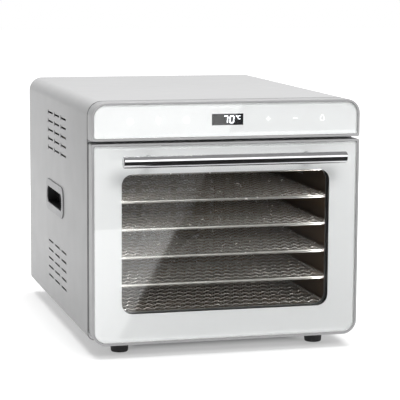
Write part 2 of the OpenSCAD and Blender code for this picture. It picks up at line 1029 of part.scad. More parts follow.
// the two posts between the bar and the glass
module handle_posts() {
    color(bright)
        difference() {
            for (sx = [-1, 1])
                rod_y(
                    sx * post_span / 2, handle_y + 2, handle_z,
                    post_d / 2, glass_y - handle_y - 2, 48
                );
            rod_x(0, handle_y, handle_z, handle_d / 2 + running, handle_len, 64);
            for (sx = [-1, 1])
                rod_y(sx * post_span / 2, glass_y - 14, handle_z, 2.05, 16, 24);
        }
}

// screws from inside the door into the posts
module handle_screws() {
    color(steel)
        for (sx = [-1, 1]) {
            rod_y(sx * post_span / 2, glass_y - 12, handle_z, 2, print_back + 12.2 - glass_y, 24);
            rod_y(sx * post_span / 2, print_back, handle_z, 4, 2.6, 24);
        }
}

// ---- fan ----

// the fan wheel: hub, back plate and straight blades
module fan_wheel() {
    y0 = baffle_y + 9;
    depth = 20;
    color(bright)
        difference() {
            union() {
                rod_y(0, y0, fan_z, 9, depth, 32);
                rod_y(0, y0 + depth - 1, fan_z, fan_d / 2 - 6, 1, 96);
                for (a = [0:30:330])
                    translate([0, 0, fan_z])
                        rotate([0, a, 0])
                            translate([fan_d / 2 - 36, y0 + 2, -0.6])
                                cube([36, depth - 2.5, 1.2]);
            }
            rod_y(0, y0 + 4, fan_z, shaft_d / 2, depth, 48);
        }
}

// the motor shaft with its rotor
module motor_rotor() {
    y0 = baffle_y + 13;
    color(steel)
        union() {
            rod_y(0, y0, fan_z, shaft_d / 2, bracket_back_y + bracket_t + 1.5 - y0, 48);
            rod_y(0, stator_y - 1, fan_z, rotor_r, stator_t + 2, 48);
        }
}

// ---- trays ----

function tray_level(i) = tray_first + i * tray_pitch;

// a round-wire corner of a tray rim
module rim_corner(x, y, a) {
    translate([x, y, 0])
        rotate([0, 0, a])
            rotate_extrude(angle = 90, $fn = 48)
                translate([tray_r, 0])
                    circle(r = rim_d / 2, $fn = 16);
}

// one tray: a round-wire rim and two layers of straight wires
module tray(i) {
    half_w = tray_w / 2 - rim_d / 2;
    low_y = tray_y + rim_d / 2;
    high_y = tray_y + tray_d - rim_d / 2;
    mid_y = (low_y + high_y) / 2;
    long_n = floor((half_w - 4) / mesh_pitch_x);
    cross_n = floor((mid_y - low_y - 4) / mesh_pitch_y);
    color(bright)
        translate([0, 0, tray_level(i)])
            union() {
                for (sx = [-1, 1]) {
                    rod_y(sx * half_w, low_y + tray_r, 0, rim_d / 2, high_y - low_y - 2 * tray_r, 16);
                    rim_corner(sx * (half_w - tray_r), low_y + tray_r, sx > 0 ? -90 : 180);
                    rim_corner(sx * (half_w - tray_r), high_y - tray_r, sx > 0 ? 0 : 90);
                }
                for (y = [low_y, high_y])
                    rod_x(0, y, 0, rim_d / 2, 2 * (half_w - tray_r), 16);
                for (k = [-long_n:long_n]) {
                    cut = end_cut(abs(k * mesh_pitch_x), half_w);
                    block(
                        k * mesh_pitch_x, low_y + cut, -mesh_wire - 0.05,
                        mesh_wire, high_y - low_y - 2 * cut, mesh_wire
                    );
                }
                for (k = [-cross_n:cross_n]) {
                    cut = end_cut(abs(k * mesh_pitch_y), mid_y - low_y);
                    translate([0, mid_y + k * mesh_pitch_y - mesh_wire / 2, 0])
                        block(0, 0, 0.05, 2 * (half_w - cut), mesh_wire, mesh_wire);
                }
            }
}

// how much shorter a mesh wire is at each end where the rim's corner curves in
function end_cut(off, half) =
    off < half - tray_r ? 0 : tray_r - sqrt(tray_r * tray_r - pow(off - half + tray_r, 2));

module tray_1() {
    tray(0);
}

module tray_2() {
    tray(1);
}

module tray_3() {
    tray(2);
}

module tray_4() {
    tray(3);
}

module tray_5() {
    tray(4);
}

module tray_6() {
    tray(5);
}

outer_case();
base_panel();
back_panel();
back_screws();
front_frame();
chamber_liner();
rack_left();
rack_right();
rear_baffle();
heater_element();
heater_clips();
motor_stator();
motor_coil();
motor_bracket();
thermal_cutout();
temp_probe();
electronics_shelf();
power_board();
board_parts();
wiring();
power_inlet();
inlet_pins();
grip_plate_left();
grip_plate_right();
grip_cup_left();
grip_cup_right();
foot_front_left();
foot_front_right();
foot_rear_left();
foot_rear_right();
foot_screws();
hinge_bracket_left();
hinge_bracket_right();
control_frame();
panel_gasket();
control_glass();
control_print();
display_module();
display_board();
touch_contacts();
door_frame();
door_glass();
door_print();
pane_spacer();
inner_glass();
inner_panel();
door_seal();
hinge_blocks();
hinge_pins();
handle_bar();
handle_posts();
handle_screws();
fan_wheel();
motor_rotor();
tray_1();
tray_2();
tray_3();
tray_4();
tray_5();
tray_6();
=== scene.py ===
# Looks of the food dehydrator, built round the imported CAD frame. Metres; the front faces -Y.
import bpy
import bmesh
import json
import math
from mathutils import Matrix, Vector


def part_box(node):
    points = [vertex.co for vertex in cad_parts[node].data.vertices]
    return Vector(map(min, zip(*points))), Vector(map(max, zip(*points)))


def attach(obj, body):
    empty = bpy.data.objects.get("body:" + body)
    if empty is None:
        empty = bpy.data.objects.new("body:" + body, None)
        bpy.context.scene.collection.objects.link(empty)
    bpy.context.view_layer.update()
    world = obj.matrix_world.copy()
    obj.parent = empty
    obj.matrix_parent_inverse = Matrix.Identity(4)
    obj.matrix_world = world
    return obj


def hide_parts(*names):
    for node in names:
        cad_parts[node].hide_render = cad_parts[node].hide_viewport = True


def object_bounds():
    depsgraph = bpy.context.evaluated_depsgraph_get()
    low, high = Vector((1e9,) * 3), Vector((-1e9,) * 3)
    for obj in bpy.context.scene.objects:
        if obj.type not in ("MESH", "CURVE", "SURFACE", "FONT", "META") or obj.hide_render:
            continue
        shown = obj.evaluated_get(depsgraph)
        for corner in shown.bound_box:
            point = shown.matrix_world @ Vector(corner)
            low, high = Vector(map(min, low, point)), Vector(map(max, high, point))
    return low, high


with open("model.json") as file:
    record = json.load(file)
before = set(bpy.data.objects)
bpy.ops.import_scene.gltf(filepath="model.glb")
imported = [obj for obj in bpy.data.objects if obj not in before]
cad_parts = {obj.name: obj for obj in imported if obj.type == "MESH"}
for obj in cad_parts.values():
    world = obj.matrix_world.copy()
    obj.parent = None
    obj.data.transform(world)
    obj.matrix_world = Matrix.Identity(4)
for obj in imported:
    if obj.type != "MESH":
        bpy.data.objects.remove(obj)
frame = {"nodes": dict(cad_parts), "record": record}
CAD_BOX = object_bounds()
RECORD = frame["record"]
MM = 0.001
BODY_OF = {n: b for b, names in RECORD["behaviour"]["bodies"].items() for n in names}
SLOT_OF = {s["node"]: s["material_slot"] for s in RECORD["subparts"]}
TRAYS = sorted(n for n in BODY_OF if n.startswith("tray_"))


def low(node):
    return Vector(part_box(node)[0])


def high(node):
    return Vector(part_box(node)[1])


def middle(node):
    return (low(node) + high(node)) / 2


# ---------------------------------------------------------------- materials

class Mat:
    """A node material: one Principled shader with helpers that add procedural detail."""

    def __init__(self, name, colour, rough, metal=0.0, **sockets):
        self.mat = bpy.data.materials.new(name)
        self.mat.use_nodes = True
        self.tree = self.mat.node_tree
        self.shader = self.tree.nodes["Principled BSDF"]
        self.shader.inputs["Base Color"].default_value = (*colour, 1)
        self.shader.inputs["Roughness"].default_value = rough
        self.shader.inputs["Metallic"].default_value = metal
        self.colour = colour
        self.rough = rough
        for key, value in sockets.items():
            self.shader.inputs[key.replace("_", " ")].default_value = value
        self.coords = self.tree.nodes.new("ShaderNodeTexCoord")

    def node(self, kind, **values):
        n = self.tree.nodes.new(kind)
        for key, value in values.items():
            setattr(n, key, value)
        return n

    def link(self, a, b):
        self.tree.links.new(a, b)

    def noise(self, scale, stretch=(1, 1, 1), detail=3.0):
        place = self.node("ShaderNodeMapping")
        place.inputs["Scale"].default_value = stretch
        self.link(self.coords.outputs["Object"], place.inputs["Vector"])
        n = self.node("ShaderNodeTexNoise")
        n.inputs["Scale"].default_value = scale
        n.inputs["Detail"].default_value = detail
        self.link(place.outputs["Vector"], n.inputs["Vector"])
        return n.outputs["Fac"]

    def ramp(self, value, stops):
        r = self.node("ShaderNodeValToRGB")
        r.color_ramp.elements[0].position = stops[0][0]
        r.color_ramp.elements[0].color = (*stops[0][1], 1)
        r.color_ramp.elements[1].position = stops[-1][0]
        r.color_ramp.elements[1].color = (*stops[-1][1], 1)
        for at, colour in stops[1:-1]:
            r.color_ramp.elements.new(at).color = (*colour, 1)
        self.link(value, r.inputs["Fac"])
        return r.outputs["Color"]

    def mottle(self, scale, spread, stretch=(1, 1, 1), tint=(1, 1, 1)):
        """Colour that drifts by spread either side of the base."""
        a = tuple(max(0, c * (1 - spread)) for c in self.colour)
        b = tuple(min(1, c * (1 + spread) * t) for c, t in zip(self.colour, tint))
        colour = self.ramp(self.noise(scale, stretch), [(0.3, a), (0.7, b)])
        self.link(colour, self.shader.inputs["Base Color"])
        return self

    def wear(self, scale, spread, stretch=(1, 1, 1)):
        """Roughness that drifts by spread either side of the base."""
        m = self.node("ShaderNodeMapRange")
        m.inputs["To Min"].default_value = max(0.02, self.rough - spread)
        m.inputs["To Max"].default_value = min(1, self.rough + spread)
        self.link(self.noise(scale, stretch, 5.0), m.inputs["Value"])
        self.link(m.outputs["Result"], self.shader.inputs["Roughness"])
        return self

    def grain(self, scale, strength, depth, stretch=(1, 1, 1)):
        """Fine bump."""
        b = self.node("ShaderNodeBump")
        b.inputs["Strength"].default_value = strength
        b.inputs["Distance"].default_value = depth
        self.link(self.noise(scale, stretch, 4.0), b.inputs["Height"])
        self.link(b.outputs["Normal"], self.shader.inputs["Normal"])
        return self


def pane_material(name, tint, gloss):
    """Thin clear glass: what is behind shows through, with a Fresnel reflection on top."""
    m = Mat(name, tint, 0.02)
    out = m.tree.nodes["Material Output"]
    clear = m.node("ShaderNodeBsdfTransparent")
    clear.inputs["Color"].default_value = (*tint, 1)
    shine = m.node("ShaderNodeBsdfGlossy")
    smudge = m.node("ShaderNodeMapRange")
    smudge.inputs["To Min"].default_value = 0.0
    smudge.inputs["To Max"].default_value = 0.04
    m.link(m.noise(9, (1, 1, 1), 5.0), smudge.inputs["Value"])
    m.link(smudge.outputs["Result"], shine.inputs["Roughness"])
    fresnel = m.node("ShaderNodeFresnel")
    fresnel.inputs["IOR"].default_value = gloss
    mix = m.node("ShaderNodeMixShader")
    m.link(fresnel.outputs["Fac"], mix.inputs[0])
    m.link(clear.outputs["BSDF"], mix.inputs[1])
    m.link(shine.outputs["BSDF"], mix.inputs[2])
    m.link(mix.outputs["Shader"], out.inputs["Surface"])
    return m


STREAK_X = (0.04, 1, 1)
STREAK_Y = (1, 0.04, 1)
STREAK_Z = (1, 1, 0.04)

MATS = {
    "case_white": Mat("case_paint", (0.29, 0.29, 0.292), 0.42).mottle(6, 0.015)
        .wear(30, 0.06).grain(1400, 0.10, 0.0002),
    "steel_sheet": Mat("sheet_steel", (0.60, 0.60, 0.61), 0.36, 1.0)
        .mottle(25, 0.10, STREAK_X).wear(60, 0.10, STREAK_X),
    # the chamber steel is coloured dark brown-black: painted shade of the closed chamber; its streaks and
    # grain are the steel's own
    "chamber_steel": Mat("chamber_steel", (0.12, 0.080, 0.046), 0.42, 0.35)
        .mottle(22, 0.35, STREAK_Y, (1.1, 1.0, 0.9)).wear(40, 0.12, STREAK_Y)
        .grain(260, 0.15, 0.0003, STREAK_Y),
    "bright_steel": Mat("bright_steel", (0.66, 0.66, 0.67), 0.30, 1.0).mottle(60, 0.08)
        .wear(90, 0.08),
    "copper_coil": Mat("coil_wire", (0.55, 0.22, 0.07), 0.35, 0.9).mottle(60, 0.2)
        .grain(500, 0.5, 0.0004, STREAK_X),
    "board_green": Mat("board_mask", (0.03, 0.16, 0.07), 0.35).mottle(80, 0.25).wear(100, 0.1),
    "dark_parts": Mat("dark_plastic", (0.018, 0.018, 0.019), 0.30).mottle(30, 0.2)
        .wear(50, 0.12).grain(900, 0.10, 0.0002),
    "foot_rubber": Mat("foot_rubber", (0.016, 0.016, 0.017), 0.62).mottle(50, 0.25)
        .wear(80, 0.12).grain(1200, 0.30, 0.0003),
    "seal_rubber": Mat("seal_rubber", (0.020, 0.020, 0.021), 0.55).mottle(50, 0.25)
        .wear(80, 0.12).grain(900, 0.20, 0.0002),
    "grip_metal": Mat("grip_plate", (0.22, 0.22, 0.225), 0.42, 0.3).mottle(30, 0.06)
        .wear(70, 0.10).grain(900, 0.12, 0.0002),
    "frame_silver": Mat("frame_silver", (0.28, 0.28, 0.283), 0.38, 0.15)
        .mottle(30, 0.05, STREAK_X).wear(80, 0.08, STREAK_X).grain(1000, 0.05, 0.0001, STREAK_X),
    "pane_glass": pane_material("pane_glass", (0.992, 0.996, 0.994), 1.45),
    "white_print": Mat("white_enamel", (0.86, 0.86, 0.865), 0.38).mottle(5, 0.008)
        .wear(20, 0.05).grain(1500, 0.03, 0.0001),
    "display_black": Mat("display_window", (0.008, 0.008, 0.010), 0.18).mottle(40, 0.3)
        .wear(60, 0.05),
    "handle_chrome": Mat("polished_steel", (0.55, 0.55, 0.56), 0.07, 1.0)
        .mottle(40, 0.04, STREAK_X).wear(120, 0.03, STREAK_X).grain(1400, 0.03, 0.0001, STREAK_X),
    "tray_wire": Mat("tray_wire", (0.84, 0.81, 0.77), 0.24, 0.7).mottle(70, 0.12)
        .wear(120, 0.10).grain(700, 0.15, 0.0002),
}
LIT = Mat(
    "lit_segment", (0.9, 0.92, 0.95), 0.5, Emission_Color=(0.92, 0.95, 1.0, 1), Emission_Strength=1.7
).mottle(400, 0.03)
KEY_LIT = Mat(
    "lit_key", (0.95, 0.95, 0.96), 0.5, Emission_Color=(1.0, 1.0, 1.0, 1), Emission_Strength=0.40
).mottle(300, 0.02)
GROUND_EDGE = Mat("ground_edge", (0.93, 0.94, 0.935), 0.5).mottle(200, 0.02).grain(900, 0.1, 0.0001)
INNER_PANE = pane_material("inner_pane", (0.992, 0.996, 0.994), 1.2)
# the pressed tabs are painted nearly black: painted shade for the shadow at the louvre ends
PAINTED_TAB_SHADE = Mat("pressed_tab_painted_shade", (0.05, 0.05, 0.052), 0.5).mottle(80, 0.15).wear(90, 0.1)


def paint(obj, mat):
    obj.data.materials.clear()
    obj.data.materials.append(mat.mat)


# ---------------------------------------------------------------- geometry helpers

def add_object(name, bm, mat, body, stands_for=(), angle=32):
    mesh = bpy.data.meshes.new(name)
    bmesh.ops.recalc_face_normals(bm, faces=bm.faces[:])
    bm.to_mesh(mesh)
    bm.free()
    for poly in mesh.polygons:
        poly.use_smooth = True
    mesh.set_sharp_from_angle(angle=math.radians(angle))
    obj = bpy.data.objects.new(name, mesh)
    bpy.context.scene.collection.objects.link(obj)
    paint(obj, mat)
    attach(obj, body)
    if stands_for:
        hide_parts(*stands_for)
    return obj


def weigh_normals(mesh, angle=50):
    """Corner normals weighted by area, so a flat face stays flat beside its rounded edges."""
    limit = math.cos(math.radians(angle))
    around = [[] for _ in mesh.vertices]
    for poly in mesh.polygons:
        for v in poly.vertices:
            around[v].append(poly)
    normals = [Vector((0, 0, 1))] * len(mesh.loops)
    for poly in mesh.polygons:
        for v, loop in zip(poly.vertices, poly.loop_indices):
            near = [p for p in around[v] if p.normal.dot(poly.normal) > limit]
            total = sum((p.area * p.normal for p in near), Vector())
            normals[loop] = total.normalized() if total.length else poly.normal
    mesh.normals_split_custom_set(normals)


def remake(node, bevel, mat=None, segments=2, shift=(0, 0, 0)):
    """The CAD node again with its edges rounded over by bevel metres."""
    source = frame["nodes"][node]
    bm = bmesh.new()
    bm.from_mesh(source.data)
    bm.transform(Matrix.Translation(shift) @ source.matrix_world)
    bmesh.ops.remove_doubles(bm, verts=bm.verts[:], dist=2e-6)
    bmesh.ops.dissolve_limit(
        bm, angle_limit=math.radians(1.0), verts=bm.verts[:], edges=bm.edges[:]
    )
    if bevel:
        sharp = [
            e for e in bm.edges
            if len(e.link_faces) == 2 and e.calc_face_angle(0) > math.radians(35)
        ]
        bmesh.ops.bevel(
            bm, geom=sharp, offset=bevel, segments=segments, profile=0.5,
            affect="EDGES", clamp_overlap=True
        )
    obj = add_object(
        node + ".detail", bm, mat or MATS[SLOT_OF[node]], BODY_OF[node], (node,)
    )
    weigh_normals(obj.data)
    return obj


def lathe(bm, profile, centre, axis, steps=48):
    """Revolves (radius, along) pairs about axis through centre; ends are closed."""
    turn = Vector((0, 0, 1)).rotation_difference(Vector(axis)).to_matrix()
    rings = []
    for r, h in profile:
        ring = []
        for k in range(steps):
            a = 2 * math.pi * k / steps
            ring.append(bm.verts.new(
                Vector(centre) + turn @ Vector((r * math.cos(a), r * math.sin(a), h))
            ))
        rings.append(ring)
    for a, b in zip(rings, rings[1:]):
        for k in range(steps):
            bm.faces.new((a[k], a[(k + 1) % steps], b[(k + 1) % steps], b[k]))
    bm.faces.new(rings[0])
    bm.faces.new(rings[-1])


def tube(bm, points, radius, sides=8, closed=False):
    """A round wire along points."""
    count = len(points)
    rings = []
    for i, p in enumerate(points):
        if closed:
            d = points[(i + 1) % count] - points[i - 1]
        else:
            d = points[min(i + 1, count - 1)] - points[max(i - 1, 0)]
        d.normalize()
        side = d.cross(Vector((0, 0, 1)))
        if side.length < 1e-4:
            side = d.cross(Vector((0, 1, 0)))
        side.normalize()
        up = side.cross(d)
        rings.append([
            bm.verts.new(p + radius * (
                math.cos(2 * math.pi * k / sides) * side + math.sin(2 * math.pi * k / sides) * up
            ))
            for k in range(sides)
        ])
    pairs = list(zip(rings, rings[1:]))
    if closed:
        pairs.append((rings[-1], rings[0]))
    for a, b in pairs:
        for k in range(sides):
            bm.faces.new((a[k], a[(k + 1) % sides], b[(k + 1) % sides], b[k]))
    if not closed:
        bm.faces.new(rings[0])
        bm.faces.new(rings[-1])


def loop_points(w, d, r, steps=10):
    """Rounded rectangle in x and y, centred on the origin."""
    out = []
    for cx, cy, a0 in (
        (w / 2 - r, d / 2 - r, 0), (-w / 2 + r, d / 2 - r, 90),
        (-w / 2 + r, -d / 2 + r, 180), (w / 2 - r, -d / 2 + r, 270)
    ):
        for k in range(steps + 1):
            a = math.radians(a0 + 90 * k / steps)
            out.append(Vector((cx + r * math.cos(a), cy + r * math.sin(a), 0)))
    return out


def slab(bm, outline, y0, y1):
    """Closed prism of an outline of (x, z) points between two depths."""
    near = [bm.verts.new((x, y0, z)) for x, z in outline]
    far = [bm.verts.new((x, y1, z)) for x, z in outline]
    bm.faces.new(near)
    bm.faces.new(far[::-1])
    for k in range(len(outline)):
        n = (k + 1) % len(outline)
        bm.faces.new((near[k], near[n], far[n], far[k]))


# ---------------------------------------------------------------- CAD nodes kept or rounded over

BEVELS = {
    "outer_case": 0.25, "back_panel": 0.2, "base_panel": 0.2, "grip_plate_left": 0.5,
    "grip_plate_right": 0.5, "power_inlet": 0.5, "control_frame": 0.8, "door_frame": 0.8,
    "door_seal": 0.1, "panel_gasket": 0.1, "control_glass": 0.35, "door_glass": 0.35,
    "inner_panel": 0.3, "pane_spacer": 0.3, "hinge_bracket_left": 0.4, "hinge_bracket_right": 0.4,
    "front_frame": 0.2,
}
for node, bevel in BEVELS.items():
    made = remake(node, bevel * MM)
    if SLOT_OF[node] == "pane_glass":
        made.data.materials.append(GROUND_EDGE.mat)
        for poly in made.data.polygons:
            if abs(poly.normal.y) < 0.5:
                poly.material_index = 1
# the white layers sit a hair behind their glass, so the two faces never coincide
for node in ("control_print", "door_print"):
    remake(node, 0, shift=(0, 0.08 * MM, 0))
for node, obj in frame["nodes"].items():
    if node in SLOT_OF:
        paint(obj, MATS[SLOT_OF[node]])
paint(frame["nodes"]["inner_glass"], INNER_PANE)

# ---------------------------------------------------------------- handle and feet

lo, hi = low("handle_bar"), high("handle_bar")
bar_r = (hi.z - lo.z) / 2
half = (hi.x - lo.x) / 2
bm = bmesh.new()
end = [
    (0.35 * bar_r, 0), (bar_r - 1.6 * MM, 0.05 * MM), (bar_r - 0.8 * MM, 0.3 * MM),
    (bar_r - 0.2 * MM, 0.9 * MM), (bar_r, 1.8 * MM),
]
profile = [(r, -half + h) for r, h in end] + [(r, half - h) for r, h in reversed(end)]
lathe(bm, profile, middle("handle_bar"), (1, 0, 0), 64)
add_object(
    "handle_bar.polished", bm, MATS["handle_chrome"], "door", ("handle_bar",)
)

lo, hi = low("handle_posts"), high("handle_posts")
post_r = (hi.z - lo.z) / 2
bm = bmesh.new()
for x in (lo.x + post_r, hi.x - post_r):
    depth = hi.y - lo.y
    profile = [
        (post_r, 0), (post_r, depth - 3.2 * MM), (post_r - 0.5 * MM, depth - 2.9 * MM),
        (post_r - 0.5 * MM, depth - 2.3 * MM), (post_r, depth - 2.0 * MM), (post_r, depth),
    ]
    lathe(bm, profile, (x, lo.y, (lo.z + hi.z) / 2), (0, 1, 0), 40)
add_object(
    "handle_posts.turned", bm, MATS["handle_chrome"], "door", ("handle_posts",)
)

for node in [n for n in BODY_OF if n.startswith("foot_") and n != "foot_screws"]:
    lo, hi = low(node), high(node)
    r = (hi.x - lo.x) / 2
    h = hi.z - lo.z
    profile = [
        (4.6 * MM, h - 4 * MM), (4.6 * MM, 0.8 * MM), (5.2 * MM, 0), (r - 3.2 * MM, 0),
        (r - 2.0 * MM, 0.3 * MM), (r - 1.3 * MM, 1.2 * MM), (r - 1.1 * MM, 2.4 * MM),
        (r - 0.2 * MM, h - 2.6 * MM), (r, h - 1.8 * MM), (r, h - 0.4 * MM),
        (r - 0.4 * MM, h),
    ]
    bm = bmesh.new()
    lathe(bm, profile, ((lo.x + hi.x) / 2, (lo.y + hi.y) / 2, lo.z), (0, 0, 1), 56)
    add_object(node + ".moulded", bm, MATS["foot_rubber"], "cabinet", (node,))

# ---------------------------------------------------------------- woven trays

WEAVE_X = 6.45 * MM    # between the wires that run front to back
WEAVE_Y = 22.8 * MM    # between the wires that run across
CROSS_R = 0.9 * MM     # radius of the wires that run across
LONG_R = 0.5 * MM      # radius of the wires that run front to back
CRIMP = 1.0 * MM       # how far a wire waves up and down
TRAY_R = 14 * MM       # corner radius of the rim
RIM_GAP = 3 * MM       # least space between the rim and the wire beside it


def weave(tray):
    """A round rim with crimped wires woven across it both ways."""
    lo, hi = low(tray), high(tray)
    w, d = hi.x - lo.x, hi.y - lo.y
    rim_r = (hi.z - lo.z) / 2
    c = (lo + hi) / 2
    bm = bmesh.new()
    rim = [c + p for p in loop_points(w - 2 * rim_r, d - 2 * rim_r, TRAY_R)]
    tube(bm, rim, rim_r, 12, closed=True)
    in_x, in_y = w / 2 - rim_r, d / 2 - rim_r
    nx = int((in_x - RIM_GAP) / WEAVE_X)
    ny = int((in_y - RIM_GAP) / WEAVE_Y)

    def reach(off, half_a, half_b):
        """How far a wire at this offset runs before it meets the rim."""
        over = abs(off) - (half_a - TRAY_R)
        return half_b if over <= 0 else half_b - TRAY_R + math.sqrt(max(0, TRAY_R ** 2 - over ** 2))

    def wire(run, pitch, start, radius, place):
        steps = max(8, int(2 * run / pitch * 6))
        pts = []
        for k in range(steps + 1):
            s = -run + 2 * run * k / steps
            pts.append(c + place(s, CRIMP * math.cos(math.pi * (s / pitch + start))))
        tube(bm, pts, radius, 6)

    for i in range(-nx, nx + 1):
        x = i * WEAVE_X
        wire(reach(x, in_x, in_y), WEAVE_Y, i, LONG_R, lambda s, h: Vector((x, s, h)))
    for j in range(-ny, ny + 1):
        y = j * WEAVE_Y
        wire(reach(y, in_y, in_x), WEAVE_X, j, CROSS_R, lambda s, h: Vector((s, y, -h)))
    return bm


for tray in TRAYS:
    add_object(
        tray + ".woven", weave(tray), MATS["tray_wire"], BODY_OF[tray], (tray,), 60
    )

# ---------------------------------------------------------------- display and touch keys

disp = middle("display_module")
SEG = {"7": "abc", "0": "abcdef"}


def segment_outline(ch, x0, z0, w, h, t, lean):
    """Outlines of the lit segments of one digit, as (x, z) points."""
    g = 0.12 * t
    m = h / 2
    boxes = {
        "a": (t * 0.6, h - t, w - t * 0.6, h), "d": (t * 0.6, 0, w - t * 0.6, t),
        "f": (0, m + g, t, h - t * 0.6), "b": (w - t, m + g, w, h - t * 0.6),
        "e": (0, t * 0.6, t, m - g), "c": (w - t, t * 0.6, w, m - g),
    }
    for s in SEG[ch]:
        xa, za, xb, zb = boxes[s]
        c = 0.35 * t
        raw = [
            (xa + c, za), (xb - c, za), (xb, za + c), (xb, zb - c),
            (xb - c, zb), (xa + c, zb), (xa, zb - c), (xa, za + c),
        ]
        yield [(x0 + x + lean * z, z0 + z) for x, z in raw]


face_y = low("display_module").y
bm = bmesh.new()
DIGIT_H = 9.6 * MM
DIGIT_W = 6.0 * MM
STROKE = 1.35 * MM
LEAN = 0.06
LIT_NEAR = face_y - 0.30 * MM
LIT_FAR = face_y - 0.05 * MM
for ch, x0 in (("7", -5.6 * MM), ("0", 2.2 * MM)):
    for outline in segment_outline(
        ch, disp.x + x0, disp.z - DIGIT_H / 2, DIGIT_W, DIGIT_H, STROKE, LEAN
    ):
        slab(bm, outline, LIT_NEAR, LIT_FAR)


def ring(bm, x, z, r, t, y0, y1, start=0, sweep=360, steps=28):
    """A flat ring or arc facing the front."""
    full = sweep >= 360
    n = steps if full else steps + 1
    quad = []
    for k in range(n):
        a = math.radians(start + sweep * k / steps)
        for rr in (r - t / 2, r + t / 2):
            for y in (y0, y1):
                quad.append(bm.verts.new((x + rr * math.cos(a), y, z + rr * math.sin(a))))
    for k in range(steps):
        a, b = 4 * k, 4 * ((k + 1) % n)
        for i, j in ((0, 2), (2, 3), (3, 1), (1, 0)):
            bm.faces.new((quad[a + i], quad[a + j], quad[b + j], quad[b + i]))
    if not full:
        bm.faces.new([quad[i] for i in (0, 2, 3, 1)])
        bm.faces.new([quad[4 * (n - 1) + i] for i in (0, 2, 3, 1)])


# the small ring and open arc after the digits are the degree mark and its C
ring(bm, disp.x + 11.6 * MM, disp.z + 3.9 * MM, 0.8 * MM, 0.5 * MM, LIT_NEAR, LIT_FAR)
ring(bm, disp.x + 15.1 * MM, disp.z + 2.2 * MM, 2.0 * MM, 0.8 * MM, LIT_NEAR, LIT_FAR, 50, 260)
add_object("display_digits", bm, LIT, "cabinet")

key_mid = middle("touch_contacts")
key_y = high("control_glass").y
contact_r = (high("touch_contacts").z - low("touch_contacts").z) / 2
outer_key = high("touch_contacts").x - contact_r
KEY_PITCH = 35 * MM
KEYS = [-outer_key + k * KEY_PITCH for k in range(3)] + [outer_key - k * KEY_PITCH for k in (2, 1, 0)]
Y0 = key_y - 0.35 * MM
Y1 = key_y - 0.10 * MM


def bar(bm, x, z, w, h, turn=0.0):
    """A flat stroke of a key's sign, turned about its middle."""
    c, s = math.cos(turn), math.sin(turn)
    pts = [(-w / 2, -h / 2), (w / 2, -h / 2), (w / 2, h / 2), (-w / 2, h / 2)]
    slab(bm, [(x + c * a - s * b, z + s * a + c * b) for a, b in pts], Y0, Y1)


def power_key(bm, x, z):
    ring(bm, x, z - 0.4 * MM, 3.2 * MM, 1.0 * MM, Y0, Y1, 125, 290)
    bar(bm, x, z + 2.0 * MM, 1.0 * MM, 4.0 * MM)


def lamp_key(bm, x, z):
    ring(bm, x, z + 1.2 * MM, 2.4 * MM, 1.0 * MM, Y0, Y1)
    bar(bm, x, z - 2.6 * MM, 2.4 * MM, 1.4 * MM)
    bar(bm, x, z - 4.2 * MM, 1.6 * MM, 0.8 * MM)


def clock_key(bm, x, z):
    ring(bm, x, z, 3.6 * MM, 0.9 * MM, Y0, Y1)
    bar(bm, x, z + 1.2 * MM, 0.9 * MM, 2.6 * MM)
    bar(bm, x + 0.9 * MM, z, 2.0 * MM, 0.9 * MM)


def plus_key(bm, x, z):
    bar(bm, x, z, 5.6 * MM, 1.2 * MM)
    bar(bm, x, z + 1.8 * MM, 1.2 * MM, 2.3 * MM)
    bar(bm, x, z - 1.8 * MM, 1.2 * MM, 2.3 * MM)


def minus_key(bm, x, z):
    bar(bm, x, z, 5.6 * MM, 1.2 * MM)


def drop_key(bm, x, z):
    ring(bm, x, z - 1.0 * MM, 2.5 * MM, 1.0 * MM, Y0, Y1, 150, 240)
    bar(bm, x - 1.35 * MM, z + 2.0 * MM, 1.0 * MM, 4.6 * MM, -0.5)
    bar(bm, x + 1.35 * MM, z + 2.0 * MM, 1.0 * MM, 4.6 * MM, 0.5)


SIGNS = {
    "key_power": power_key, "key_lamp": lamp_key, "key_clock": clock_key,
    "key_plus": plus_key, "key_minus": minus_key, "key_drop": drop_key,
}
for x, (name, draw) in zip(KEYS, SIGNS.items()):
    bm = bmesh.new()
    draw(bm, x, key_mid.z)
    add_object(name, bm, KEY_LIT, "cabinet")

# ---------------------------------------------------------------- small details of the case

case_lo, case_hi = low("outer_case"), high("outer_case")
grip_mid = middle("grip_plate_left")
TAB_SHIFT = 2 * MM       # middle column of pressed tabs, behind the middle of the grip
TAB_COLUMN = 47 * MM
TAB_RISE = 88 * MM       # middle row, above the middle of the grip
TAB_ROW = 12 * MM
TAB_OUT = 0.35 * MM
TAB_TAPER = 0.7
TAB_SHAPE = [(-1.6, 0.0), (0.2, -3.6), (2.6, -3.0), (2.0, 0.0), (2.6, 3.0), (0.2, 3.6)]
# the tabs stand a little proud of the case and are painted nearly black, as painted shade for the shadow
# each louvre end casts
bm = bmesh.new()
for side in (-1, 1):
    face_x = case_hi.x if side > 0 else case_lo.x
    for row in range(-2, 3):
        for col in range(3):
            y = grip_mid.y + TAB_SHIFT + (col - 1) * TAB_COLUMN
            z = grip_mid.z + TAB_RISE + row * TAB_ROW
            near = [
                bm.verts.new((face_x - side * 0.02 * MM, y + a * MM, z + b * MM)) for a, b in TAB_SHAPE
            ]
            far = [
                bm.verts.new((face_x + side * TAB_OUT, y + a * TAB_TAPER * MM, z + b * TAB_TAPER * MM))
                for a, b in TAB_SHAPE
            ]
            bm.faces.new(near)
            bm.faces.new(far[::-1])
            for k in range(len(TAB_SHAPE)):
                n = (k + 1) % len(TAB_SHAPE)
                bm.faces.new((near[k], near[n], far[n], far[k]))
add_object("louvre_tabs", bm, PAINTED_TAB_SHADE, "cabinet")


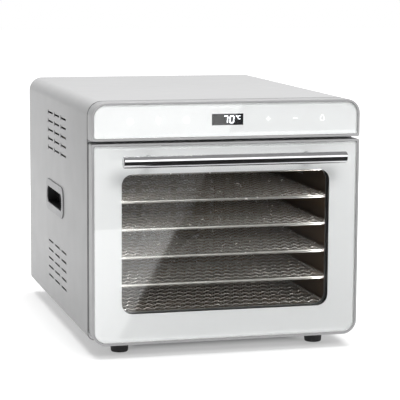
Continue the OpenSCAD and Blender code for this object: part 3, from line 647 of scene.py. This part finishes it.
def pan_head(bm, centre, axis, r, h):
    """A domed screw head without its drive."""
    profile = [
        (r, 0), (r, 0.35 * h), (0.94 * r, 0.62 * h), (0.78 * r, 0.85 * h),
        (0.5 * r, 0.97 * h), (0.25 * r, h),
    ]
    lathe(bm, profile, centre, axis, 28)


bm = bmesh.new()
cross = bmesh.new()
HEAD_R = 3.6 * MM
HEAD_H = 1.8 * MM
DRIVE_LONG = 3.6 * MM
DRIVE_WIDE = 0.9 * MM
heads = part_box("back_screws")
xs = (heads[0][0] + HEAD_R, heads[1][0] - HEAD_R)
zs = (heads[0][2] + HEAD_R, (heads[0][2] + heads[1][2]) / 2, heads[1][2] - HEAD_R)
back = high("back_panel").y
for x in xs:
    for z in zs:
        pan_head(bm, (x, back, z), (0, 1, 0), HEAD_R, HEAD_H)
        # a dark cross a hair proud of the head is painted shade standing for the drive recess
        for w, h in ((DRIVE_LONG, DRIVE_WIDE), (DRIVE_WIDE, DRIVE_LONG)):
            pts = [(-w / 2, -h / 2), (w / 2, -h / 2), (w / 2, h / 2), (-w / 2, h / 2)]
            slab(cross, [(x + a, z + b) for a, b in pts], back + 1.2 * MM, back + HEAD_H + 0.015 * MM)
add_object("back_screw_heads", bm, MATS["bright_steel"], "cabinet", ("back_screws",))
add_object("back_screw_drives", cross, MATS["dark_parts"], "cabinet")

# ---------------------------------------------------------------- floor, light and camera

def upright(x0, x1, y, z0, z1):
    """Corners of an upright card that faces the front."""
    return [(x0, y, z0), (x1, y, z0), (x1, y, z1), (x0, y, z1)]


def stage_plane(name, corners, mat, glossy_only=False):
    """A flat studio surface through the given corners."""
    bm = bmesh.new()
    bm.faces.new([bm.verts.new(p) for p in corners])
    mesh = bpy.data.meshes.new(name)
    bm.to_mesh(mesh)
    bm.free()
    obj = bpy.data.objects.new(name, mesh)
    bpy.context.scene.collection.objects.link(obj)
    paint(obj, mat)
    if glossy_only:
        obj.visible_camera = False
        obj.visible_diffuse = False
        obj.visible_shadow = False
        obj.visible_transmission = False
    return obj


FLOOR = Mat("studio_floor", (0.50, 0.50, 0.50), 0.7, Emission_Color=(1, 1, 1, 1)).mottle(2, 0.004)
# the floor glows from just inside the footprint outward, so it is plain white round the case
# and keeps a contact shadow only under it
size_away = FLOOR.node("ShaderNodeVectorMath", operation="ABSOLUTE")
past_edge = FLOOR.node("ShaderNodeVectorMath", operation="SUBTRACT")
GLOW_X = 0.09
GLOW_Y = 0.128
past_edge.inputs[1].default_value = (GLOW_X, GLOW_Y, 0)
split = FLOOR.node("ShaderNodeSeparateXYZ")
furthest = FLOOR.node("ShaderNodeMath", operation="MAXIMUM")
FLOOR.link(FLOOR.coords.outputs["Object"], size_away.inputs[0])
FLOOR.link(size_away.outputs["Vector"], past_edge.inputs[0])
FLOOR.link(past_edge.outputs["Vector"], split.inputs[0])
FLOOR.link(split.outputs["X"], furthest.inputs[0])
FLOOR.link(split.outputs["Y"], furthest.inputs[1])
GLOW = [(0.0, (0.08,) * 3), (0.035, (0.38,) * 3), (1.0, (0.95,) * 3)]
glow = FLOOR.ramp(furthest.outputs["Value"], GLOW)
FLOOR.link(glow, FLOOR.shader.inputs["Emission Strength"])
FLAG = Mat("studio_flag", (0.02, 0.02, 0.02), 0.9).mottle(3, 0.1)
CARD = Mat(
    "studio_card", (0.9, 0.9, 0.9), 0.9, Emission_Color=(1, 1, 1, 1), Emission_Strength=1.5
).mottle(3, 0.01)
floor_z = CAD_BOX[0][2] - 0.0002
FLOOR_HALF = 9
floor_corners = [
    (-FLOOR_HALF, -FLOOR_HALF, floor_z), (FLOOR_HALF, -FLOOR_HALF, floor_z),
    (FLOOR_HALF, FLOOR_HALF, floor_z), (-FLOOR_HALF, FLOOR_HALF, floor_z),
]
stage_plane("studio_floor", floor_corners, FLOOR)
# cards seen only in reflections: the dark one gives the polished bar its black band,
# and the bright one close above it gives the thin light line over that band
stage_plane("bar_flag", upright(-0.24, 0.24, -0.313, 0.142, 0.264), FLAG, True)
stage_plane("bar_card", upright(-0.24, 0.24, -0.262, 0.252, 0.269), CARD, True)
# this card shades the front part of the case's left side, as in the photograph
side_corners = [(-0.45, -0.60, 0.01), (-0.45, -0.05, 0.01), (-0.45, -0.05, 0.55), (-0.45, -0.60, 0.55)]
side_flag = stage_plane("side_flag", side_corners, FLAG)
side_flag.visible_camera = False
side_flag.visible_shadow = False
# this one takes the floor's reflection off the right of the door's glass
glass_corners = [
    (-0.116, -0.303, 0.001), (2.6, -0.303, 0.001), (4.0, -5.003, 0.001), (1.50, -5.003, 0.001),
]
stage_plane("glass_flag", glass_corners, FLAG, True)

WORLD_CAMERA = 1.0
WORLD_LIGHT = 0.44
world = bpy.data.worlds.new("studio")
bpy.context.scene.world = world
world.use_nodes = True
tree = world.node_tree
tree.nodes["Background"].inputs["Color"].default_value = (1, 1, 1, 1)
tree.nodes["Background"].inputs["Strength"].default_value = WORLD_LIGHT
seen = tree.nodes.new("ShaderNodeBackground")
seen.inputs["Color"].default_value = (1, 1, 1, 1)
seen.inputs["Strength"].default_value = WORLD_CAMERA
path = tree.nodes.new("ShaderNodeLightPath")
mix = tree.nodes.new("ShaderNodeMixShader")
tree.links.new(path.outputs["Is Camera Ray"], mix.inputs[0])
tree.links.new(tree.nodes["Background"].outputs[0], mix.inputs[1])
tree.links.new(seen.outputs[0], mix.inputs[2])
tree.links.new(mix.outputs[0], tree.nodes["World Output"].inputs["Surface"])


def area_light(name, place, target, size, power):
    data = bpy.data.lights.new(name, "AREA")
    data.shape = "RECTANGLE"
    data.size, data.size_y = size
    data.energy = power
    obj = bpy.data.objects.new(name, data)
    obj.location = place
    obj.rotation_euler = (Vector(target) - Vector(place)).to_track_quat("-Z", "Y").to_euler()
    bpy.context.scene.collection.objects.link(obj)
    return obj


top = area_light("top_softbox", (0.1, 0.0, 1.9), (0, 0, 0.2), (1.8, 1.8), 75)
area_light("front_softbox", (0.05, -2.1, 1.45), (0, -0.2, 0.05), (0.9, 0.8), 27)
top.visible_glossy = False
area_light("rear_softbox", (-1.0, 1.0, 0.5), (-0.17, 0.25, 0.2), (0.4, 0.4), 1.9)
for side, power in ((-1, 0.12), (1, 0.07)):
    inside = area_light("inside_light", (side * 0.142, -0.168, 0.15), (0, 0.02, 0.15), (0.008, 0.2), power)
    inside.visible_camera = False

# a card that only the front glass reflects, with a slanting right edge
edge = Vector((0.4716, 0, 0.8818))
across = Vector((-edge.z, 0, edge.x))
CARD_WIDTH = 0.5
CARD_EDGE = Vector((-0.032, -0.303, 0.149))
card = area_light("glass_card", (0, 0, 0), (0, 1, 0), (CARD_WIDTH, 0.75), 0.8)
card.matrix_world = Matrix.Translation(
    CARD_EDGE + across * CARD_WIDTH / 2
) @ Matrix((-across, edge, Vector((0, -1, 0)))).transposed().to_4x4()
card.visible_camera = False
glass_group = bpy.data.collections.new("front_glass")
for name in ("door_glass.detail", "control_glass.detail"):
    glass_group.objects.link(bpy.data.objects[name])
card.light_linking.receiver_collection = glass_group

# The photograph's viewpoint: left of the front and a little above, on a long lens.
CAM_PLACE = Vector((-0.5822, -2.2360, 0.4891))
CAM_AZIMUTH = math.radians(15.05)
CAM_PITCH = math.radians(8.0)
CAM_ROLL = 0.0060
CAM_LENS = 156.5
ahead = Vector((
    math.sin(CAM_AZIMUTH) * math.cos(CAM_PITCH),
    math.cos(CAM_AZIMUTH) * math.cos(CAM_PITCH),
    -math.sin(CAM_PITCH),
))
right = Vector((math.cos(CAM_AZIMUTH), -math.sin(CAM_AZIMUTH), 0))
up = right.cross(ahead)
cam_right = math.cos(CAM_ROLL) * right + math.sin(CAM_ROLL) * up
cam_up = math.cos(CAM_ROLL) * up - math.sin(CAM_ROLL) * right
cam_data = bpy.data.cameras.new("camera")
cam_data.lens = CAM_LENS
cam_data.sensor_width = 36
cam = bpy.data.objects.new("camera", cam_data)
turn = Matrix((cam_right, cam_up, -ahead)).transposed()
cam.matrix_world = Matrix.Translation(CAM_PLACE) @ turn.to_4x4()
bpy.context.scene.collection.objects.link(cam)
bpy.context.scene.camera = cam
bpy.context.scene.view_settings.view_transform = "Standard"
